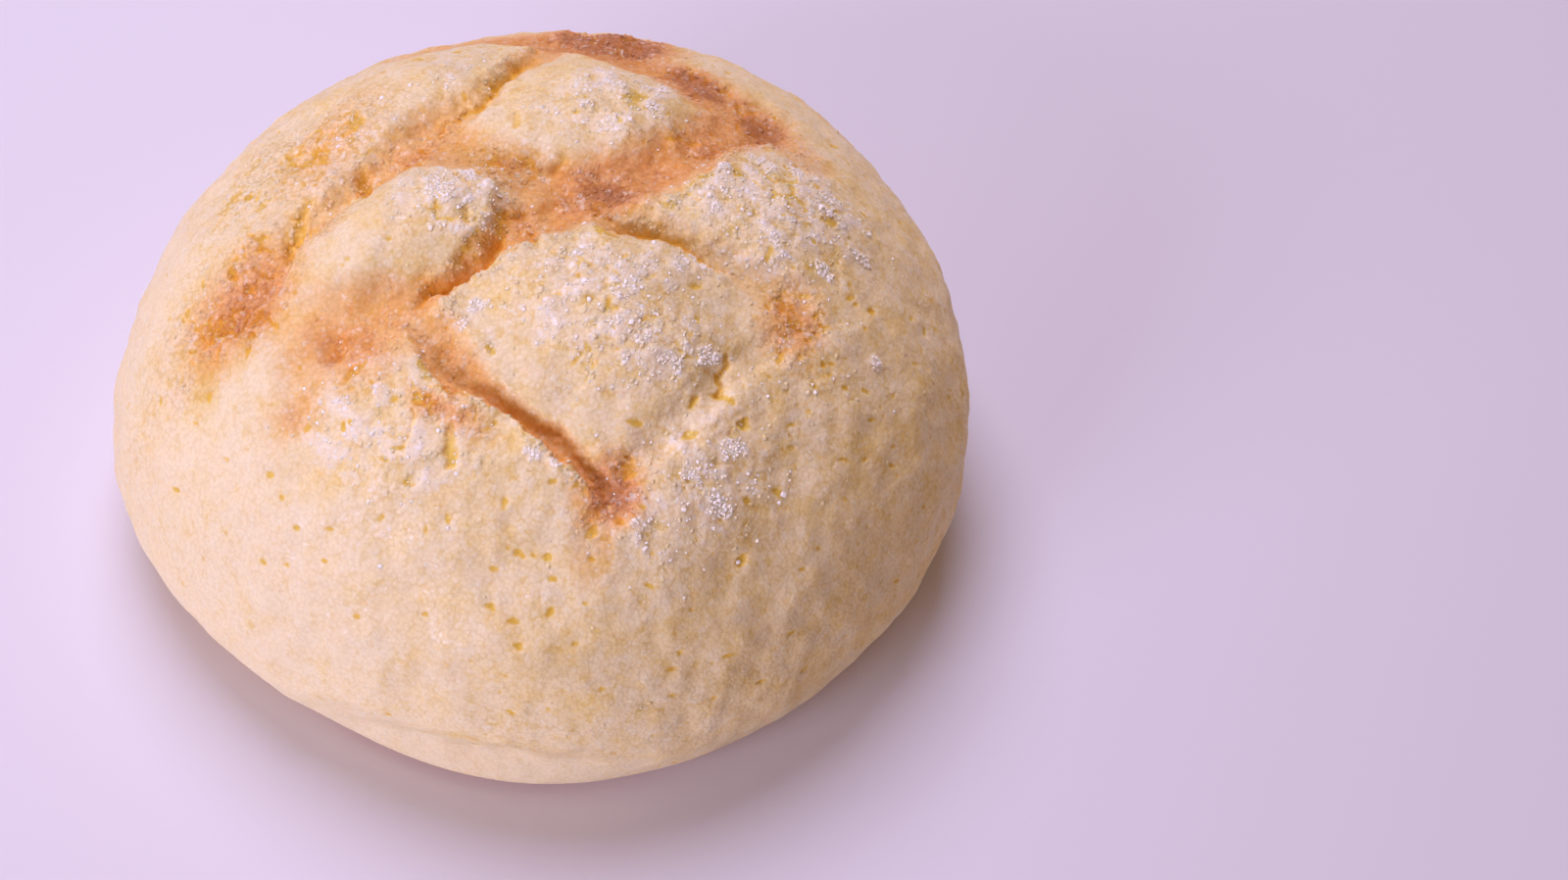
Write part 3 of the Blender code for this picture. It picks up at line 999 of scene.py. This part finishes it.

# %% [markdown]
# ## The crust's finish
#
# The biscuit is pale yellow from egg yolk and butter. It browns through gold and orange to terracotta. The
# shade in pits, tears, cracks, grooves and dents, and the golden light that bounces from their yellow walls,
# are painted into the colour as a darker golden tint.
# Light also sinks into the crumb, which subsurface scattering gives.
#
# The crust is grains of flour, butter and sugar, and it is shade painted into the colour between the grains
# that shows them, more than their height: strong bumps would turn biscuit into plaster. So two cell
# patterns, of lumps and of grains, paint golden shade into the seams and where lumps are left out, and a
# darker shade between the grains. Some grains are frosted pale with sugar, and the bumps stay low.

# %% The crust's colours
BROWNING = (
    (0.0, (0.91, 0.775, 0.49)),
    (0.3, (0.89, 0.60, 0.29)),
    (0.55, (0.85, 0.455, 0.19)),
    (0.8, (0.65, 0.30, 0.13)),
    (1.0, (0.54, 0.24, 0.11)),
)
# a darker gold: the painted shade and bounced light of pits, tears, cracks, grooves and dents, and of the
# gaps between lumps
HOLLOW_SHADE_TINT = (0.88, 0.72, 0.20, 1)
GOLD_TINT = (1.0, 0.89, 0.54, 1)
# the painted shade between the grains of the dough
SHADE_BETWEEN_GRAINS = (0.86, 0.80, 0.68, 1)
FROST = (0.95, 0.88, 0.76, 1)
WARM_SHINE = (1.0, 0.86, 0.68, 1)
LUMP_SIZE = 0.9  # mm
GRAIN_SIZE = 0.5  # mm
CRUST_LIGHT = (0.6, 0.33, 0.15)  # mm that red, green and blue light sink in
CRUMB_LIGHT = (0.06, 0.06, 0.06)  # mm
GOLDEN_SPOTS = 3.0  # mm
GOLDEN_CLOUDS = 8  # mm
SEAM_RUNS = 2.2  # mm
FROSTED_SPOTS = 1.5  # mm
print("shades of browning:", len(BROWNING))


# %% Crust finish
def crust_finish(name, gap_shade_share, hollow_shade_share, how_light_spreads, depth_of_light):
    paint = Paint(name)
    brown = paint.number("brown")
    rough = paint.number("rough")
    sweet = paint.number("sweet")
    lump, lump_draw = paint.cells(LUMP_SIZE)
    grain, grain_draw = paint.cells(GRAIN_SIZE)
    grit = paint.between(paint.noise(0.8, 4), 0.3, 0.7)
    toasted = brown * (0.85 + 0.3 * grit) + 0.08 * paint.noise(5, 3) - 0.04
    colour = paint.shades(toasted, BROWNING)
    spots = paint.between(paint.noise(GOLDEN_SPOTS, 1), 0.4, 0.62)
    golden = 0.35 * spots + 0.4 * paint.between(paint.noise(GOLDEN_CLOUDS, 1), 0.4, 0.7)
    half_rough = paint.between(rough, 0.05, 0.3) * (1 - 0.6 * paint.between(rough, 0.45, 0.8))
    mottled = half_rough * (1 - 0.5 * sweet)
    colour = paint.mixed(golden * mottled, colour, GOLD_TINT, "MULTIPLY")
    # Painted shade: the seams between lumps, the lumps left out and the gaps between grains are darkened,
    # standing for the shade that falls between them.
    missing = 1 - paint.between(lump_draw, 0.12, 0.3)
    seams = paint.between(lump, 0.45, 0.8) * paint.between(paint.noise(SEAM_RUNS, 2), 0.42, 0.58)
    gap_shade = gap_shade_share * (0.6 * missing + 0.7 * seams) * (0.2 + 0.8 * rough)
    colour = paint.mixed(gap_shade, colour, HOLLOW_SHADE_TINT, "MULTIPLY")
    shade_between_grains = gap_shade_share * paint.between(grain, 0.3, 0.8) * (0.35 + 0.65 * rough)
    colour = paint.mixed(shade_between_grains, colour, SHADE_BETWEEN_GRAINS, "MULTIPLY")
    pale = paint.between(grain_draw, 0.55, 0.8) * paint.between(paint.noise(FROSTED_SPOTS, 2), 0.4, 0.6)
    frosted = sweet * (0.35 + 0.4 * pale) + (0.12 + 0.4 * rough) * pale * (1 - gap_shade)
    colour = paint.mixed(frosted, colour, FROST)
    # painted shade: pits, tears, cracks, curd dips, grooves and dents darkened to gold
    colour = paint.mixed(paint.number("hollow_shade") * hollow_shade_share, colour, HOLLOW_SHADE_TINT, "MULTIPLY")
    low_lumps = (1 - lump * lump) * (0.4 + 0.6 * lump_draw) - 0.5 * missing
    low_grains = (1 - grain * grain) * (0.4 + 0.6 * grain_draw)
    height = 0.2 * paint.noise(2.2, 0) + 0.12 * low_lumps * rough + low_grains * (0.05 + 0.06 * rough)
    bumps = paint.node("ShaderNodeBump", {}, {"Height": height, "Strength": 1.0, "Distance": MM})
    paint.shader.subsurface_method = how_light_spreads
    return paint.finish(
        Base_Color=colour,
        Roughness=0.65 - 0.3 * pale,
        Coat_Weight=0.6 * pale * (0.3 + 0.7 * sweet),
        Coat_Roughness=0.25,
        Normal=bumps,
        Subsurface_Weight=1.0,
        Subsurface_Radius=depth_of_light,
        Subsurface_Scale=MM,
        Specular_IOR_Level=0.4,
        Specular_Tint=WARM_SHINE,
    )


crust_mesh.materials.clear()
crust_mesh.materials.append(crust_finish("crust", 1.0, 1.0, "BURLEY", CRUST_LIGHT))

# %% [markdown]
# ## Sugar and crumbs
#
# Granulated sugar is worn little cubes, some fine as sand and some half a millimetre across. It lies
# thickest on top of the tiles, in clusters, and it has sunk into the dough as it baked. Crumbs of the
# biscuit lie along the torn edges and on the coarse crust. Placing them by hand would take days, so
# one Geometry Nodes tree strews each kind: it picks points on the crust by a number that the crust's
# points carry, sets a turned and stretched grain on each, sinks it, and bends them all with noise, so
# that no two are alike. A grain has only a dozen to a few dozen faces, because there are thousands.

# %% Kinds of grain
# Amount is for each square metre. Proud is how far a grain's middle stands out, in times its size.
SUGAR = {
    "Amount": 5.0e6,
    "Least Apart": 0.18 * MM,
    "Smallest": 0.12 * MM,
    "Largest": 0.22 * MM,
    "Proud": -0.3,
    "Bent": 0.1 * MM,
}
COARSE = {
    "Amount": 4.0e6,
    "Least Apart": 0.35 * MM,
    "Smallest": 0.2 * MM,
    "Largest": 0.36 * MM,
    "Proud": -0.3,
    "Bent": 0.15 * MM,
}
CRUMBS = {
    "Amount": 4.0e6,
    "Least Apart": 0.35 * MM,
    "Smallest": 0.22 * MM,
    "Largest": 0.6 * MM,
    "Proud": -0.5,
    "Bent": 0.5 * MM,
}
GRAIN_BEND = 0.5  # mm across the noise that bends the grains
LEAST_STRETCH = 0.7
MOST_STRETCHED = 1.3
CUBE_SIDE = 1.6  # times a grain's size
LUMP_RADIUS = 0.8  # times a grain's size
print("largest of each kind in mm:", [kind["Largest"] / MM for kind in (SUGAR, COARSE, CRUMBS)])


# %% A Geometry Nodes tree in the making
class Strewing:
    """A Geometry Nodes tree in the making."""

    def __init__(self, name):
        self.tree = bpy.data.node_groups.new(name, "GeometryNodeTree")
        self.tree.interface.new_socket(name="Ground", in_out="INPUT", socket_type="NodeSocketGeometry")
        self.tree.interface.new_socket(name="Strewn", in_out="OUTPUT", socket_type="NodeSocketGeometry")
        self.entry = self.tree.nodes.new("NodeGroupInput")
        self.exit = self.tree.nodes.new("NodeGroupOutput")

    def size(self, name, kind="NodeSocketFloat"):
        """A named input of the tree."""
        self.tree.interface.new_socket(name=name, in_out="INPUT", socket_type=kind)
        return self.entry.outputs[name]

    def node(self, kind, settings=None, inputs=None):
        made = self.tree.nodes.new(kind)
        for name, value in (settings or {}).items():
            setattr(made, name, value)
        for name, value in (inputs or {}).items():
            if isinstance(value, bpy.types.NodeSocket):
                self.tree.links.new(value, made.inputs[name])
            else:
                made.inputs[name].default_value = value
        return made

    def scaled(self, vector, factor):
        values = {"Vector": vector, "Scale": factor}
        return self.node("ShaderNodeVectorMath", {"operation": "SCALE"}, values)


print("named inputs of a tree:", ["Ground", "Seed", "Finish", *SUGAR])


# %% Shapes of grain
def cube(work):
    return work.node("GeometryNodeMeshCube", {}, {"Size": (CUBE_SIDE,) * 3})


def worn_cube(work):
    sides = {"Mesh": cube(work).outputs["Mesh"], "Level": 1, "Edge Crease": 0.6}
    return work.node("GeometryNodeSubdivisionSurface", {}, sides)


def lump(work):
    ball = work.node("GeometryNodeMeshIcoSphere", {}, {"Radius": LUMP_RADIUS, "Subdivisions": 1})
    return work.node("GeometryNodeSetShadeSmooth", {}, {"Geometry": ball.outputs["Mesh"]})


print("shapes:", [shape.__name__ for shape in (cube, worn_cube, lump)])


# %% The strewing tree
def strewing_tree(name, where, shape):
    """Grains of a shape on the ground, as many as its points' number `where` says."""
    work = Strewing(name)
    chance = work.node("GeometryNodeInputNamedAttribute", {"data_type": "FLOAT"}, {"Name": where})
    points = work.node(
        "GeometryNodeDistributePointsOnFaces",
        {"distribute_method": "POISSON"},
        {
            "Mesh": work.entry.outputs["Ground"],
            "Distance Min": work.size("Least Apart"),
            "Density Max": work.size("Amount"),
            "Density Factor": chance.outputs["Attribute"],
            "Seed": work.size("Seed", "NodeSocketInt"),
        },
    )
    draw = work.node("FunctionNodeRandomValue", {"data_type": "FLOAT"}, {"Seed": 1})
    skewed = work.node("ShaderNodeMath", {"operation": "POWER"}, {0: draw.outputs[1], 1: 2.0})
    size = work.node(
        "ShaderNodeMapRange",
        {},
        {"Value": skewed.outputs[0], "To Min": work.size("Smallest"), "To Max": work.size("Largest")},
    )
    factors = {0: size.outputs[0], 1: work.size("Proud")}
    lift = work.node("ShaderNodeMath", {"operation": "MULTIPLY"}, factors)
    offset = work.scaled(points.outputs["Normal"], lift.outputs[0])
    places = {"Geometry": points.outputs["Points"], "Offset": offset.outputs[0]}
    raised = work.node("GeometryNodeSetPosition", {}, places)
    turned = work.node("FunctionNodeRandomValue", {"data_type": "FLOAT_VECTOR"}, {"Seed": 2})
    turned.inputs["Max"].default_value = (math.tau,) * 3
    stretched = work.node("FunctionNodeRandomValue", {"data_type": "FLOAT_VECTOR"}, {"Seed": 3})
    stretched.inputs["Min"].default_value = (LEAST_STRETCH,) * 3
    stretched.inputs["Max"].default_value = (MOST_STRETCHED,) * 3
    scale = work.scaled(stretched.outputs[0], size.outputs[0])
    grains = work.node(
        "GeometryNodeInstanceOnPoints",
        {},
        {
            "Points": raised.outputs[0],
            "Instance": shape(work).outputs[0],
            "Rotation": turned.outputs[0],
            "Scale": scale.outputs[0],
        },
    )
    real = work.node("GeometryNodeRealizeInstances", {}, {"Geometry": grains.outputs[0]})
    noise = work.node("ShaderNodeTexNoise", {}, {"Scale": 1 / (GRAIN_BEND * MM), "Detail": 1.0})
    middle = {0: noise.outputs["Color"], 1: (0.5,) * 3}
    around_0 = work.node("ShaderNodeVectorMath", {"operation": "SUBTRACT"}, middle)
    push = work.scaled(around_0.outputs[0], work.size("Bent"))
    moves = {"Geometry": real.outputs[0], "Offset": push.outputs[0]}
    bent = work.node("GeometryNodeSetPosition", {}, moves)
    coat = {"Geometry": bent.outputs[0], "Material": work.size("Finish", "NodeSocketMaterial")}
    made = work.node("GeometryNodeSetMaterial", {}, coat)
    work.tree.links.new(made.outputs[0], work.exit.inputs["Strewn"])
    print("tree:", name, "of", len(work.tree.nodes), "nodes")
    return work.tree


# %% Strew a piece
def strew(name, where, shape, seed, finish, sizes):
    """A piece of grains strewn over the crust."""
    tree = strewing_tree(name, where, shape)
    tool = crust.modifiers.new("strew", "NODES")
    tool.node_group = tree
    values = {"Seed": seed, "Finish": finish, **sizes}
    for item in tree.interface.items_tree:
        if item.name in values:
            tool[item.identifier] = values[item.name]
    mesh = bpy.data.meshes.new_from_object(crust.evaluated_get(bpy.context.evaluated_depsgraph_get()))
    crust.modifiers.remove(tool)
    piece = add_piece(name, mesh)
    print(name, "triangles:", sum(len(face.vertices) - 2 for face in mesh.polygons))
    return piece


print("numbers that say where grains fall: sprinkled, crumbly")

# %% [markdown]
# ## The sugar's finish
#
# A crystal of sugar is clear, but a heap of worn ones is white, because light is turned many times
# between them. Clear grains this small would take very many bounces to render, so each grain is pale
# and lets light spread a little inside. The dough's fat dulls them, so only a few of them glint.


# %% Sugar and crumbs
def sugar_finish(name, clear, cloudy, depth_of_light):
    paint = Paint(name)
    paint.shader.subsurface_method = "RANDOM_WALK"
    return paint.finish(
        Base_Color=paint.mixed(paint.between(paint.noise(1.0, 2), 0.35, 0.65), clear, cloudy),
        Roughness=0.45 + 0.3 * paint.noise(0.8, 1),
        Specular_IOR_Level=0.3,
        Subsurface_Weight=0.25,
        Subsurface_Radius=(1.0, 1.0, 1.0),
        Subsurface_Scale=depth_of_light * MM,
        IOR=1.45,
        Specular_Tint=WARM_SHINE,
    )


fine_paint = sugar_finish("sugar fine", (1.0, 0.89, 0.70, 1), (1.0, 0.92, 0.78, 1), 0.05)
coarse_paint = sugar_finish("sugar coarse", (1.0, 0.90, 0.72, 1), (1.0, 0.95, 0.86, 1), 0.08)
sugar_fine = strew("sugar_fine", "sprinkled", cube, 3, fine_paint, SUGAR)
sugar_coarse = strew("sugar_coarse", "sprinkled", worn_cube, 4, coarse_paint, COARSE)
crumb_paint = crust_finish("crumb", 0.2, 0.3, "RANDOM_WALK", CRUMB_LIGHT)
crumbs = strew("crumbs", "crumbly", lump, 5, crumb_paint, CRUMBS)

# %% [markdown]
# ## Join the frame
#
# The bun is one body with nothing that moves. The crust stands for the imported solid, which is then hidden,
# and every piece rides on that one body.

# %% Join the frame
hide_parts("bun")
for piece, finish in ((crust, "crust"), (crumbs, "crust"), (sugar_fine, "sugar"), (sugar_coarse, "sugar")):
    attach(piece, "root")
print("pieces:", [piece.name for piece in (crust, crumbs, sugar_fine, sugar_coarse)])
